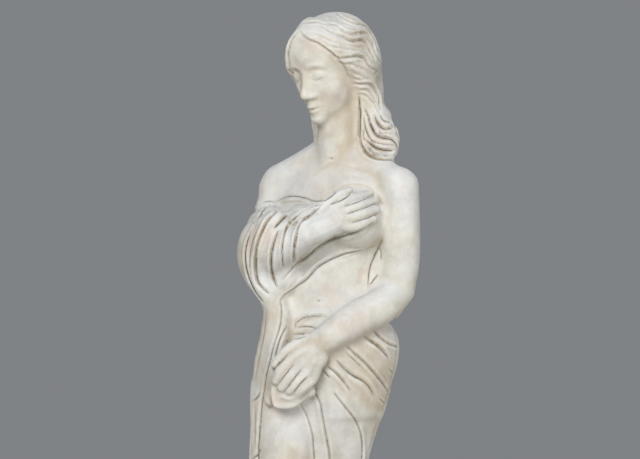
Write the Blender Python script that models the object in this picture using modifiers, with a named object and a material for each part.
# Cast stone garden statue of a standing woman in loose drapery, on a low round base.
#
# Metres, +Z up, origin at the centre of the base's underside. The figure faces -Y.
# The figure is worked in thousandths of its own height, measured from the soles: x towards its
# left hand, y towards its back, z up. Its masses are lofts, limbs and balls fused into one skin.
# The folds, locks and fingers are then cut and raised along curves that lie on that skin.
import math

import bmesh
import bpy
import numpy as np
from mathutils import Matrix, Vector
from mathutils.bvhtree import BVHTree

# Driving sizes
FIGURE_HEIGHT = 1.13
BASE_RADIUS = 0.165
BASE_HEIGHT = 0.07
BASE_ROUNDING = 0.008
BASE_SIDES = 64
FIGURE_SHIFT = (0.009, 0.008)  # of the figure on the base
FACETS = 9300  # of the figure alone
SUNK = -13  # how deep the feet and the hem run into the base, in thousandths of the figure's height

# Fineness of the skin, in thousandths of the figure's height
MASS_GRID = 4.8
MASS_SOFTNESS = 14
SKIN_GRID = 2.4
SKIN_SOFTNESS = 3.2

STONE_COLOUR = (0.70, 0.66, 0.57, 1)


def between(a, b, share):
    return [p + (q - p) * share for p, q in zip(a, b)]


def smooth_path(points, steps=6):
    """A curve through the points, whatever each one carries."""
    knots = np.array(points, float)
    knots = np.vstack([2 * knots[0] - knots[1], knots, 2 * knots[-1] - knots[-2]])
    along = np.linspace(0, 1, steps, endpoint=False)[:, None]
    spans = []
    for a, b, c, d in zip(knots, knots[1:], knots[2:], knots[3:]):
        bend = (2 * a - 5 * b + 4 * c - d) * along**2 + (3 * b - a - 3 * c + d) * along**3
        spans.append(b + 0.5 * ((c - a) * along + bend))
    return np.vstack([*spans, knots[-2]])


def evened(path, spacing):
    """The same line with its points set evenly."""
    lengths = np.linalg.norm(np.diff(path, axis=0), axis=1)
    reached = np.concatenate([[0], np.cumsum(lengths)])
    stops = np.linspace(0, reached[-1], max(4, round(reached[-1] / spacing)))
    return np.stack([np.interp(stops, reached, column) for column in path.T], 1)


def fan(guides, count):
    """Lines spread evenly across the guide lines, which all have the same number of points."""
    guides = np.array(guides, float)
    for line in range(count):
        where = line / max(count - 1, 1) * (len(guides) - 1)
        lower = min(int(where), len(guides) - 2)
        yield guides[lower] + (guides[lower + 1] - guides[lower]) * (where - lower)


# Masses


class Masses:
    """Closed shapes that are fused into one skin."""

    def __init__(self):
        self.shapes = bmesh.new()
        self.tubes = bpy.data.curves.new("Limbs", "CURVE")
        self.tubes.dimensions = "3D"
        self.tubes.bevel_depth = 1
        self.tubes.bevel_resolution = 4
        self.tubes.use_fill_caps = True

    def ball(self, centre, radii, axes=Matrix.Identity(3)):
        if isinstance(radii, (int, float)):
            radii = (radii,) * 3
        matrix = Matrix.Translation(centre) @ (axes @ Matrix.Diagonal(radii)).to_4x4()
        bmesh.ops.create_icosphere(self.shapes, subdivisions=4, radius=1, matrix=matrix)

    def limb(self, points, steps=5):
        """A round limb through (x, y, z, radius) points, with rounded ends."""
        path = smooth_path(points, steps)
        spline = self.tubes.splines.new("POLY")
        spline.points.add(len(path) - 1)
        for knot, (x, y, z, radius) in zip(spline.points, path):
            knot.co = (x, y, z, 1)
            knot.radius = radius
        for x, y, z, radius in (path[0], path[-1]):
            self.ball((x, y, z), radius)

    def loft(self, sections, steps=4, sides=40):
        """Level oval sections (z, x, y, half width, half depth, turn in degrees), skinned."""
        rings = []
        for z, x, y, half_width, half_depth, turn in smooth_path(sections, steps):
            turned = Matrix.Rotation(math.radians(-turn), 3, "Z")
            ring = []
            for side in range(sides):
                angle = 2 * math.pi * side / sides
                corner = turned @ Vector((half_width * math.cos(angle), half_depth * math.sin(angle), 0))
                ring.append(self.shapes.verts.new(Vector((x, y, z)) + corner))
            rings.append(ring)
        for lower, upper in zip(rings, rings[1:]):
            for side in range(sides):
                after = (side + 1) % sides
                self.shapes.faces.new((lower[side], lower[after], upper[after], upper[side]))
        self.shapes.faces.new(rings[-1])
        self.shapes.faces.new(rings[0][::-1])

    def fuse(self, grid, softness):
        """One skin round all the shapes; softness is how far the smoothing reaches."""
        tubes = bpy.data.objects.new("Limbs", self.tubes)
        bpy.context.scene.collection.objects.link(tubes)
        graph = bpy.context.evaluated_depsgraph_get()
        self.shapes.from_mesh(bpy.data.meshes.new_from_object(tubes.evaluated_get(graph)))
        bpy.data.objects.remove(tubes)
        bmesh.ops.remove_doubles(self.shapes, verts=self.shapes.verts, dist=1e-4)
        mesh = bpy.data.meshes.new("Skin")
        self.shapes.to_mesh(mesh)
        self.shapes.free()
        return reworked(mesh, grid, softness)


def reworked(mesh, grid, softness):
    skin = bpy.data.objects.new("Skin", mesh)
    bpy.context.scene.collection.objects.link(skin)
    remesh = skin.modifiers.new("Fuse", "REMESH")
    remesh.mode = "VOXEL"
    remesh.voxel_size = grid
    soften = skin.modifiers.new("Soften", "SMOOTH")
    soften.factor = 0.5
    soften.iterations = round((softness / grid) ** 2)
    graph = bpy.context.evaluated_depsgraph_get()
    fused = bpy.data.meshes.new_from_object(skin.evaluated_get(graph))
    bpy.data.objects.remove(skin)
    return fused


# Head


HEAD_CENTRE = Vector((10, -8, 928))
HEAD_TURN = math.radians(45)  # to the figure's right
HEAD_BOW = math.radians(19)


def head_axes():
    left = Vector((math.cos(HEAD_TURN), -math.sin(HEAD_TURN), 0))
    level = Vector((-math.sin(HEAD_TURN), -math.cos(HEAD_TURN), 0))
    forward = level * math.cos(HEAD_BOW) - Vector((0, 0, math.sin(HEAD_BOW)))
    up = level * math.sin(HEAD_BOW) + Vector((0, 0, math.cos(HEAD_BOW)))
    return Matrix((left, forward, up)).transposed()


HEAD_AXES = head_axes()


def on_head(left, forward, up):
    return HEAD_CENTRE + HEAD_AXES @ Vector((left, forward, up))


def head(masses):
    masses.ball(on_head(0, -6, 18), (45, 58, 50), HEAD_AXES)
    masses.ball(on_head(0, 14, -16), (37, 37, 52), HEAD_AXES)
    masses.ball(on_head(0, 16, -42), (30, 32, 27), HEAD_AXES)
    masses.ball(on_head(0, 43, -60), (14, 13, 12), HEAD_AXES)
    masses.ball(on_head(0, 36, -44), (17, 15, 15), HEAD_AXES)
    masses.limb([(*on_head(0, 46, 8), 6), (*on_head(0, 52, -12), 7), (*on_head(0, 55, -24), 7)])
    for side in (-1, 1):
        masses.ball(on_head(side * 19, 27, -21), (18, 17, 19), HEAD_AXES)
    masses.limb([(20, 8, 796, 30), (20, 4, 830, 27.5), (22, 6, 872, 28)])  # neck


def hair(masses):
    masses.ball(on_head(0, -14, 21), (52, 60, 48), HEAD_AXES)
    # Swept back from the parting, further forward over the right temple
    for lock in range(4):
        back = 7 * lock
        masses.limb([(*on_head(3, 36 - back, 53 + 0.6 * back), 9), (*on_head(22, 32 - back, 45 + 0.5 * back), 10),
                     (*on_head(38, 20 - back, 28 + 0.4 * back), 10), (*on_head(44, 6 - back, 6), 10),
                     (*on_head(43, -8 - back, -18), 10), (*on_head(36, -16 - 0.6 * back, -42), 10)])
        masses.limb([(*on_head(-3, 38 - back, 53 + 0.6 * back), 9), (*on_head(-17, 43 - back, 40 + 0.5 * back), 9.5),
                     (*on_head(-27, 43 - 1.2 * back, 22), 9.5), (*on_head(-34, 34 - back, 3), 9),
                     (*on_head(-39, 18 - back, -16), 9), (*on_head(-36, -6 - 0.5 * back, -40), 10)])
    masses.ball((38, 12, 934), (44, 46, 53))
    masses.ball((46, 24, 900), (38, 32, 46))
    masses.ball((60, 8, 882), (25, 28, 28))
    masses.ball((78, -6, 826), (28, 21, 30))  # on the left shoulder
    masses.ball((72, 0, 852), (24, 22, 26))
    masses.ball((20, 40, 850), (35, 18, 62))  # down the back
    masses.ball((26, 48, 800), (30, 14, 44))


# Body


TORSO = [
    (450, 6, 4, 78, 58, 8),
    (490, 9, 2, 85, 61, 8),
    (530, 10, 2, 86, 60, 9),
    (565, 8, 0, 78, 54, 10),
    (600, 4, -2, 67, 47, 11),
    (635, 2, -2, 62, 45, 13),
    (670, 6, 0, 66, 48, 16),
    (705, 12, 3, 73, 51, 20),
    (740, 18, 7, 80, 47, 23),
    (770, 21, 10, 74, 38, 25),
    (792, 21, 10, 50, 30, 25),
    (808, 21, 8, 34, 27, 25),
]
LEFT_LEG = [(42, 0, 470, 44), (26, 0, 390, 36), (22, -2, 300, 31), (22, -2, 268, 29), (22, 8, 200, 28),
            (20, 6, 110, 18), (18, 2, 40, 15), (16, 4, 8, 15)]
RIGHT_LEG = [(-36, -6, 470, 45), (-46, -28, 390, 40), (-51, -48, 300, 30), (-52, -54, 274, 28),
             (-52, -40, 205, 27), (-53, -34, 120, 18), (-54, -36, 50, 14), (-54, -36, 14, 14)]
LEFT_ARM = [(106, -30, 762, 26), (109, -31, 715, 25), (110, -28, 662, 22), (105, -27, 624, 22)]
LEFT_FOREARM = [(105, -27, 622, 22), (82, -44, 602, 25), (46, -58, 583, 24.5), (16, -67, 566, 20), (0, -70, 555, 17)]
RIGHT_ARM = [(-62, 46, 756, 25), (-73, 36, 715, 23), (-85, 14, 676, 22), (-88, -6, 652, 21)]
RIGHT_FOREARM = [(-88, -6, 652, 20), (-66, -44, 666, 22), (-38, -70, 686, 20), (-14, -82, 702, 17)]


def body(masses):
    masses.loft(TORSO)
    masses.ball((-3, -16, 572), (46, 34, 44))  # belly
    masses.ball((45, -42, 716), (37, 38, 40))  # breasts
    masses.ball((-24, -32, 706), (34, 36, 33))
    masses.ball((38, 32, 505), (44, 38, 44))  # seat
    masses.ball((-26, 36, 500), (44, 36, 44))
    masses.ball((104, -28, 762), (27, 28, 28))  # shoulders
    masses.ball((-62, 46, 759), (26, 27, 28))
    masses.limb([(8, 14, 810, 22), (-26, 30, 790, 20), (-58, 44, 770, 25)])  # shoulder slopes
    masses.limb([(26, 10, 808, 22), (58, -6, 790, 18), (98, -26, 768, 24)])
    for limb in (LEFT_LEG, RIGHT_LEG, LEFT_ARM, LEFT_FOREARM, RIGHT_ARM, RIGHT_FOREARM):
        masses.limb(limb)
    masses.limb([(78, -8, 690, 10), (74, -10, 660, 13), (72, -12, 628, 14)])  # stone left under the arm
    for x, y in FEET:
        masses.limb([(x, y, 8, 16), (x - 4, y - 30, 17, 15), (x - 8, y - 54, 8, 13)])
        masses.ball((x - 8, y - 58, 2), (21, 24, 14))


FEET = ((-54, -26), (16, -4))


def toes(masses):
    for x, y in FEET:
        for toe in range(5):
            start_x = x + 6 - 6.5 * toe
            start_y = y - 68 + 2.2 * toe
            masses.limb([(start_x, start_y, 5, 6), (start_x - 2, start_y - 12, 5, 6),
                         (start_x - 3, start_y - 21 + 2.4 * toe, 1, 5.4)])


# Cloth


SKIRT = [
    (SUNK, -8, 14, 86, 63, 4),
    (0, -8, 14, 85, 62, 4),
    (60, -9, 16, 74, 56, 4),
    (130, -10, 17, 67, 52, 5),
    (200, -10, 16, 63, 50, 6),
    (300, -10, 14, 62, 51, 7),
    (392, -9, 12, 64, 54, 8),
    (440, 0, 9, 70, 59, 8),
    (470, 5, 7, 77, 62, 8),
    (500, 10, 5, 87, 63, 8),
    (530, 12, 3, 93, 62, 8),
    (558, 13, 2, 92, 58, 8),
    (580, 13, 1, 78, 50, 8),
]


def cloth(masses):
    masses.loft(SKIRT)
    masses.ball((-82, -20, 672), (34, 36, 50))  # hanging over the right arm
    masses.ball((-70, 4, 706), (34, 32, 30))
    masses.ball((-62, -46, 690), (34, 30, 42))
    masses.limb([(-88, -26, 640, 25), (-73, -38, 618, 17), (-67, -38, 596, 12)])
    # The end that hangs beside the right leg
    for across, deep, radius in ((-11, 6, 10), (0, -4, 11), (11, 2, 9)):
        masses.limb([(-64 + across * 0.5, -38 + deep, 612, radius), (-68 + across * 0.5, -36 + deep, 570, radius),
                     (-76 + across * 0.7, -33 + deep, 520, radius), (-81 + across * 0.7, -30 + deep, 470, radius),
                     (-83 + across * 0.6, -26 + deep, 392, radius), (-84 + across * 0.8, -18 + deep, 250, radius + 2),
                     (-83 + across, -12 + deep, 100, radius + 3), (-84 + across, -10 + deep, SUNK, radius + 4)])
    masses.limb([(-54, -40, 596, 10), (-60, -46, 540, 16), (-66, -44, 490, 14), (-72, -36, 420, 12)])
    masses.ball((-47, -68, 477), (20, 13, 15))  # bunched in the left hand
    masses.limb([(-64, -66, 486, 8), (-68, -64, 472, 6)])
    masses.ball((-50, -58, 506), (22, 16, 30))
    masses.ball((-50, -38, 642), (17, 16, 24))  # gathered under the right forearm


# Hands and face, on the finished masses


def finger(masses, surface, root, tip, radius, lift=2):
    """From a knuckle (x, y, z) to a tip (x, z) that rests on the surface."""
    end = surface.front(*tip)[0]
    end.y -= lift
    middle = Vector(root).lerp(end, 0.5)
    middle.y = min(middle.y, surface.front(middle.x, middle.z)[0].y - lift) - 1
    masses.limb([(*root, radius), (*middle, radius * 0.92), (*end, radius * 0.72)])


def left_hand(masses):
    wrist = (0, -72, 555)
    masses.ball((-18, -74, 534), (20, 11, 22))
    rows = (((-41, -76, 533), (-66, -70, 504)), ((-32, -79, 522), (-56, -74, 490)),
            ((-22, -78, 514), (-44, -75, 484)), ((-12, -75, 507), (-32, -73, 481)))
    for knuckle, tip in rows:
        middle = between(knuckle, tip, 0.5)
        middle[1] -= 2.5
        masses.limb([(*wrist, 13), (*between(wrist, knuckle, 0.6), 10), (*knuckle, 7.4), (*middle, 7), (*tip, 5.6)])
    masses.limb([(-8, -72, 558, 11), (-28, -74, 557, 8.5), (-48, -76, 547, 7), (-64, -74, 529, 5.6)])


def right_hand(masses, surface):
    masses.ball((14, -82, 716), (25, 11, 23))
    masses.ball((20, -70, 738), (20, 12, 14))
    masses.limb([(-14, -82, 702, 16), (2, -83, 708, 16), (20, -82, 716, 15)])
    for share, reach in ((0, 0), (1 / 3, 4), (2 / 3, 3), (1, -4)):
        knuckle = between((30, -82, 741), (40, -84, 708), share)
        x, z = between((64, 753), (73, 719), share)
        finger(masses, surface, knuckle, (x + reach, z + 0.3 * reach), 6.8)
    masses.limb([(0, -82, 730, 9), (10, -84, 742, 7.5), (24, -80, 751, 6.2), (37, -74, 757, 5)])


def face(masses):
    def feature(points):
        masses.limb([(*on_head(*p[:3]), p[3]) for p in points], steps=4)

    feature([(0, 47, 6, 5), (0, 54, -13, 5), (0, 59, -25, 6.6)])
    feature([(0, 49, -32, 6), (0, 48, -40, 8)])
    for side in (-1, 1):
        feature([(side * 4, 56, -27, 5), (side * 8, 51, -29, 4.4)])
        masses.ball(on_head(side * 16.5, 36, -3), (12, 11.5, 9.5))


def carve_face(surface):
    def draw(line, width, depth, lips=(0.15, 0.15), taper=0.7):
        surface.crease(line, width, depth, lips, surface.face, taper)

    draw([(-13, -44), (-6, -42), (0, -43), (6, -42), (13, -44)], 4, -2.4)
    draw([(-11, -48), (0, -51), (11, -48)], 4.6, -3)
    draw([(-14, -45.5), (-5, -46), (0, -46.6), (5, -46), (14, -45.5)], 2.2, 2.6)
    draw([(-9, -56), (0, -57), (9, -56)], 5, 1.6)
    for side in (-1, 1):
        draw([(side * u, w) for u, w in ((4, 9), (16, 15), (31, 8))], 7, -2.4)
        draw([(side * u, w) for u, w in ((7, -4), (12, -8), (17, -9.5), (22, -8), (27, -3))], 2.4, 2.2)
        draw([(side * u, w) for u, w in ((8, 1), (13, 5), (18, 6), (24, 4), (29, -1))], 2.4, 1.8)
        draw([(side * u, w) for u, w in ((7, -20), (11, -25), (11, -31), (6, -34))], 2.4, 1.8)


# Carving


class Surface:
    """A skin whose points can be found and moved."""

    def __init__(self, mesh):
        self.mesh = mesh
        count = len(mesh.vertices)
        self.points = np.empty(count * 3)
        mesh.vertices.foreach_get("co", self.points)
        self.points = self.points.reshape(-1, 3)
        self.tree = BVHTree.FromPolygons(self.points.tolist(), [p.vertices[:] for p in mesh.polygons])
        self.facing = np.array([v.normal for v in mesh.vertices])

    def met(self, start, direction):
        spot, normal = self.tree.ray_cast(start, direction)[:2]
        if spot is None:
            spot, normal = self.tree.find_nearest(start + direction * 380)[:2]
        return spot, normal

    def front(self, x, z):
        return self.met(Vector((x, -400, z)), Vector((0, 1, 0)))

    def around(self, angle, z, x=4, y=8):
        """Met from outside at an angle round the upright through (x, y): 0 is the front, 90 its left."""
        outward = Vector((math.sin(math.radians(angle)), -math.cos(math.radians(angle)), 0))
        return self.met(Vector((x, y, z)) + outward * 400, -outward)

    def face(self, left, up):
        return self.met(on_head(left, 200, up), -HEAD_AXES.col[1])

    def crease(self, line, width, depth, lips=(0.3, 0.3), found=None, taper=0.7):
        """A groove along the line, with a swelling to its left and right, fading to its ends."""
        found = found or self.front
        width = max(width, SKIN_GRID * 1.15)
        spots = [found(*p[:2]) for p in evened(smooth_path(line, 8), SKIN_GRID)]
        path = np.array([spot for spot, _ in spots])
        for _ in range(10):
            path[1:-1] = (path[:-2] + path[1:-1] * 2 + path[2:]) / 4
        nearest = [self.tree.find_nearest(spot)[:2] for spot in path]
        path = np.array([spot for spot, _ in nearest])
        normals = np.array([normal for _, normal in nearest])
        for _ in range(6):
            normals[1:-1] = (normals[:-2] + normals[1:-1] + normals[2:]) / 3
        reach = width * 3
        near = ((self.points > path.min(0) - reach) & (self.points < path.max(0) + reach)).all(1)
        near = np.flatnonzero(near)
        best = np.full(len(near), np.inf)
        across, where = np.zeros(len(near)), np.zeros(len(near))
        outward = np.zeros((len(near), 3))
        for step, (a, b) in enumerate(zip(path, path[1:])):
            span = b - a
            length = np.linalg.norm(span)
            if length < 1e-6 or abs(span[1]) > 14:
                continue
            offset = self.points[near] - a
            share = np.clip(offset @ span / length**2, 0, 1)
            normal = normals[step] + (normals[step + 1] - normals[step]) * share[:, None]
            gap = offset - share[:, None] * span
            distance = np.linalg.norm(gap, axis=1)
            closer = distance < best
            side = np.cross(span / length, normal)
            signed = np.where((gap * side).sum(1) < 0, -distance, distance)
            best[closer] = distance[closer]
            across[closer] = signed[closer]
            where[closer] = (step + share[closer]) / (len(path) - 1)
            outward[closer] = normal[closer]
        keep = (best < reach) & ((self.facing[near] * outward).sum(1) > 0.1)
        near, across, where, outward = near[keep], across[keep], where[keep], outward[keep]
        fade = np.sin(math.pi * np.clip(where, 0.02, 0.98)) ** taper
        profile = -np.exp(-((across / (0.55 * width)) ** 2))
        for lip, centre in zip(lips, (-1.5, 1.5)):
            profile += lip * np.exp(-((across / width - centre) ** 2))
        push = depth * profile * fade
        self.points[near] += outward * push[:, None]

    def settle(self):
        self.mesh.vertices.foreach_set("co", self.points.ravel())
        self.mesh.update()
        return self.mesh


def carve_chest(surface):
    arm_edge = [(3, 736), (-21, 715), (-33, 694), (-37, 677), (-37, 656), (-50, 632)]
    guides = [
        [(-84, 728), (-99, 700), (-106, 668), (-103, 640), (-92, 620), (-78, 606)],
        [(-54, 732), (-72, 712), (-84, 690), (-89, 668), (-88, 642), (-74, 619)],
        [(-22, 733), (-42, 712), (-51, 694), (-54, 672), (-54, 648), (-61, 626)],
        arm_edge,
    ]
    for line in fan(guides, 7):
        surface.crease(line, 4, 4, (0.35, 0.2))
    surface.crease([(-86, 736), (-62, 743), (-40, 747), (-14, 742), (6, 741)], 3.5, -3.5, (-0.4, 0))
    surface.crease([(8, 744), (26, 760), (52, 766), (74, 756), (85, 734), (84, 706), (78, 686)], 3, -3, (-0.3, 0))
    surface.crease([(-48, 634), (-26, 664), (0, 686), (26, 695), (52, 703), (76, 716)], 4, 4, (0.1, 0.5))
    surface.crease([(-58, 592), (-52, 612), (-36, 628), (-14, 648), (6, 662), (30, 671), (70, 684)], 4, 4.5, (0.8, 0))
    surface.crease([(0, 672), (30, 678), (68, 694)], 3, 2)
    surface.crease([(80, 694), (76, 676), (66, 664), (63, 645), (63, 628)], 3.5, 6, (0.2, 0))
    surface.crease([(80, 690), (81, 664), (78, 646), (66, 632)], 3.5, 6, (0, 0.1))


def carve_strip(surface):
    surface.crease([(-55, 608), (-60, 574), (-68, 539), (-75, 511), (-79, 480), (-82, 440), (-84, 392),
                    (-82, 300), (-80, 200), (-78, 100), (-78, 10)], 3.5, 5, (0, 0.1), taper=0.3)
    surface.crease([(-66, 600), (-78, 560), (-86, 520), (-90, 486)], 3.5, 3)
    for z in (478, 400):
        surface.crease([(-101, z - 10), (-93, z - 5), (-82, z + 10)], 3.5, 4, (0.5, 0))
    surface.crease([(-92, 380), (-93, 260), (-96, 120), (-98, 20)], 5, 4, taper=0.4)


def carve_skirt(surface):
    hip = [
        [(70, 572), (90, 560), (106, 552), (108, 548)],
        [(57, 562), (74, 548), (92, 535), (104, 528)],
        [(31, 546), (57, 523), (80, 497), (92, 476)],
        [(20, 530), (40, 509), (62, 486), (82, 456)],
        [(6, 518), (24, 502), (40, 486), (56, 462)],
    ]
    for number, line in enumerate(fan(hip, 9)):
        surface.crease(line, 4, 3.4 - (number % 2) * 1.4, (0.4, 0.25), taper=0.5)
    legs = [
        [(-11, 504), (-9, 484), (0, 460), (10, 400), (16, 300), (12, 150), (6, 6)],
        [(19, 482), (36, 459), (49, 436), (56, 392), (54, 300), (52, 150), (60, 6)],
    ]
    for line in legs:
        surface.crease(line, 5, 5, (0.3, 0.3), taper=0.25)
    surface.crease([(36, 400), (38, 300), (32, 150), (34, 6)], 6, 4, taper=0.5)
    surface.crease([(-28, 471), (-19, 452), (-13, 426), (-9, 380), (-4, 300), (-12, 150), (-24, 6)], 4, 6,
                   (0, 0.5), taper=0.2)
    # The rolled top edge
    surface.crease([(12, 592), (-10, 592), (-32, 584), (-40, 572)], 4, -5, (-0.3, 0))
    surface.crease([(6, 582), (-16, 579), (-34, 573)], 3, 3)
    surface.crease([(-6, 570), (-24, 567), (-40, 560)], 3, 3)
    surface.crease([(-20, 558), (-40, 553), (-56, 536)], 3, 3)
    # Round the back
    for angle in range(75, 290, 19):
        drift = 16 * math.sin(angle)
        line = [(angle + drift * fall, 560 - 556 * fall) for fall in (0, 0.2, 0.45, 0.7, 1)]
        surface.crease(line, 6.5, 5, found=surface.around, taper=0.35)
    waist = [(angle, 584 + 4 * math.sin(math.radians(angle))) for angle in range(62, 300, 17)]
    surface.crease(waist, 5, -5, (-0.5, 0), found=surface.around, taper=0.3)


def carve_back_cloth(surface):
    edges = [[(angle, 735 - 0.2 * (255 - angle)) for angle in range(115, 256, 14)],
             [(angle, 640 + 0.25 * (255 - angle)) for angle in range(115, 256, 14)]]
    surface.crease(edges[0], 5, -4, (-0.5, 0), found=surface.around, taper=0.3)
    surface.crease(edges[1], 5, -4, (0, -0.5), found=surface.around, taper=0.3)
    for line in list(fan(edges, 6))[1:-1]:
        sag = 7 * np.sin(np.linspace(0, math.pi, len(line)))
        line[:, 1] -= sag
        surface.crease(line, 5.5, 4, found=surface.around, taper=0.5)


def carve_hands(surface):
    for line in ([(32, 735.5), (52, 743), (72, 750)], [(35, 725.5), (55, 732.5), (77, 740)],
                 [(40, 713.5), (58, 719), (78, 726.5)]):
        surface.crease(line, 3, 3.6, (0.1, 0.1), taper=0.5)
    surface.crease([(2, 736), (20, 745), (42, 755)], 3, 3)
    for line in ([(-38, 523), (-50, 508), (-63, 493)], [(-27, 517), (-38, 502), (-49, 486)],
                 [(-18.5, 509), (-28, 496), (-38, 482)], [(-42, 542), (-54, 530), (-65, 518)]):
        surface.crease(line, 3, 3.6, (0.1, 0.1), taper=0.5)


def wavy(line, swing, turns, start=0):
    path = smooth_path(line, 6)
    along = np.linspace(0, 1, len(path))
    heading = np.gradient(path, axis=0)
    heading /= np.linalg.norm(heading, axis=1)[:, None]
    aside = np.stack([-heading[:, 1], heading[:, 0]], 1)
    return path + aside * (swing * np.sin(2 * math.pi * (turns * along + start)))[:, None]


def carve_hair(surface):
    crown = [
        [(-12, 990), (22, 996), (52, 984), (70, 962), (78, 935), (82, 902), (84, 868)],
        [(-26, 976), (6, 984), (36, 974), (60, 958), (71, 934), (79, 902), (84, 866)],
        [(-14, 964), (16, 964), (44, 960), (61, 946), (70, 926), (78, 900), (84, 866)],
        [(6, 950), (24, 950), (44, 948), (58, 938), (68, 920), (77, 896), (84, 864)],
        [(18, 936), (34, 938), (50, 934), (60, 926), (68, 914), (77, 892), (84, 862)],
        [(30, 916), (44, 916), (56, 914), (66, 908), (73, 896), (79, 880), (85, 861)],
        [(40, 896), (50, 898), (60, 896), (68, 888), (74, 876), (79, 866), (86, 859)],
    ]
    for number, line in enumerate(fan(crown, 12)):
        surface.crease(wavy(line, 2.4, 2.4, 0.12 * number), 3.6, 4, (0.3, 0.3), taper=0.4)
    tail = [
        [(62, 882), (74, 868), (86, 860), (96, 850), (103, 836)],
        [(56, 872), (68, 850), (80, 842), (94, 842), (104, 826)],
        [(53, 860), (64, 836), (78, 828), (94, 827), (104, 812)],
        [(51, 846), (58, 822), (72, 814), (92, 811), (104, 804)],
    ]
    for line in fan(tail, 5):
        surface.crease(line, 3.6, 4.5, (0.35, 0.2), taper=0.4)
    surface.crease([(46, 886), (48, 860), (50, 836), (55, 814), (66, 802), (86, 797), (104, 798)], 4, 5, (0.3, 0))
    surface.crease([(-30, 972), (-8, 957), (8, 945), (24, 926), (36, 906), (46, 886)], 3.5, 3, (0.6, 0))
    surface.crease([(-31, 972), (-44, 958), (-48, 940), (-45, 926), (-37, 909)], 3.5, 3, (0, 0.6))
    # Down the back of the head
    for number, angle in enumerate(range(95, 290, 15)):
        line = [(angle + 5 * math.sin(0.9 * step + number), 985 - 24 * step) for step in range(9)]
        surface.crease(line, 4.5, 4, found=lambda a, z: surface.around(a, z, 26, 16), taper=0.4)


def figure():
    masses = Masses()
    body(masses)
    head(masses)
    hair(masses)
    cloth(masses)
    core = masses.fuse(MASS_GRID, MASS_SOFTNESS)
    surface = Surface(core)
    details = Masses()
    details.shapes.from_mesh(core)
    left_hand(details)
    right_hand(details, surface)
    toes(details)
    face(details)
    surface = Surface(details.fuse(SKIN_GRID, SKIN_SOFTNESS))
    carve_chest(surface)
    carve_strip(surface)
    carve_skirt(surface)
    carve_back_cloth(surface)
    carve_hands(surface)
    carve_hair(surface)
    carve_face(surface)
    return reworked(surface.settle(), SKIN_GRID, SKIN_SOFTNESS)


def mesh_object(name, mesh, collection):
    made = bpy.data.objects.new(name, mesh)
    collection.objects.link(made)
    return made


def stone():
    material = bpy.data.materials.new("cast_stone")
    material.use_nodes = True
    shader = material.node_tree.nodes["Principled BSDF"]
    shader.inputs["Base Color"].default_value = STONE_COLOUR
    shader.inputs["Roughness"].default_value = 0.85
    return material


def round_base():
    """The low round base, its upper edge rounded."""
    solid = bmesh.new()
    bmesh.ops.create_cone(solid, cap_ends=True, segments=BASE_SIDES, radius1=BASE_RADIUS, radius2=BASE_RADIUS,
                          depth=BASE_HEIGHT, matrix=Matrix.Translation((0, 0, BASE_HEIGHT / 2)))
    rim = [e for e in solid.edges if all(v.co.z > BASE_HEIGHT * 0.99 for v in e.verts)]
    bmesh.ops.bevel(solid, geom=rim, offset=BASE_ROUNDING, segments=2, profile=0.5, affect="EDGES")
    mesh = bpy.data.meshes.new("Base")
    solid.to_mesh(mesh)
    solid.free()
    return mesh


def main():
    for old in list(bpy.data.objects):
        bpy.data.objects.remove(old)
    scene = bpy.context.scene
    parts = bpy.data.collections.new("woman garden statue")
    helpers = bpy.data.collections.new("Cutters and guides")
    for collection in (parts, helpers):
        scene.collection.children.link(collection)

    carved = figure()
    scale = Matrix.Scale(FIGURE_HEIGHT / 1000, 4)
    carved.transform(Matrix.Translation((*FIGURE_SHIFT, BASE_HEIGHT)) @ scale)
    thinned = mesh_object("Figure", carved, helpers)
    thin = thinned.modifiers.new("Facets", "DECIMATE")
    thin.ratio = FACETS / sum(len(p.vertices) - 2 for p in carved.polygons)
    thin.use_collapse_triangulate = True
    graph = bpy.context.evaluated_depsgraph_get()
    thinned.data = bpy.data.meshes.new_from_object(thinned.evaluated_get(graph))
    thinned.modifiers.clear()
    thinned.hide_render = True
    thinned.display_type = "WIRE"

    statue = mesh_object("woman_statue", round_base(), parts)
    join = statue.modifiers.new("Figure on base", "BOOLEAN")
    join.operation = "UNION"
    join.solver = "EXACT"
    join.object = thinned
    statue.data.materials.append(stone())


if __name__ == "__main__":
    main()
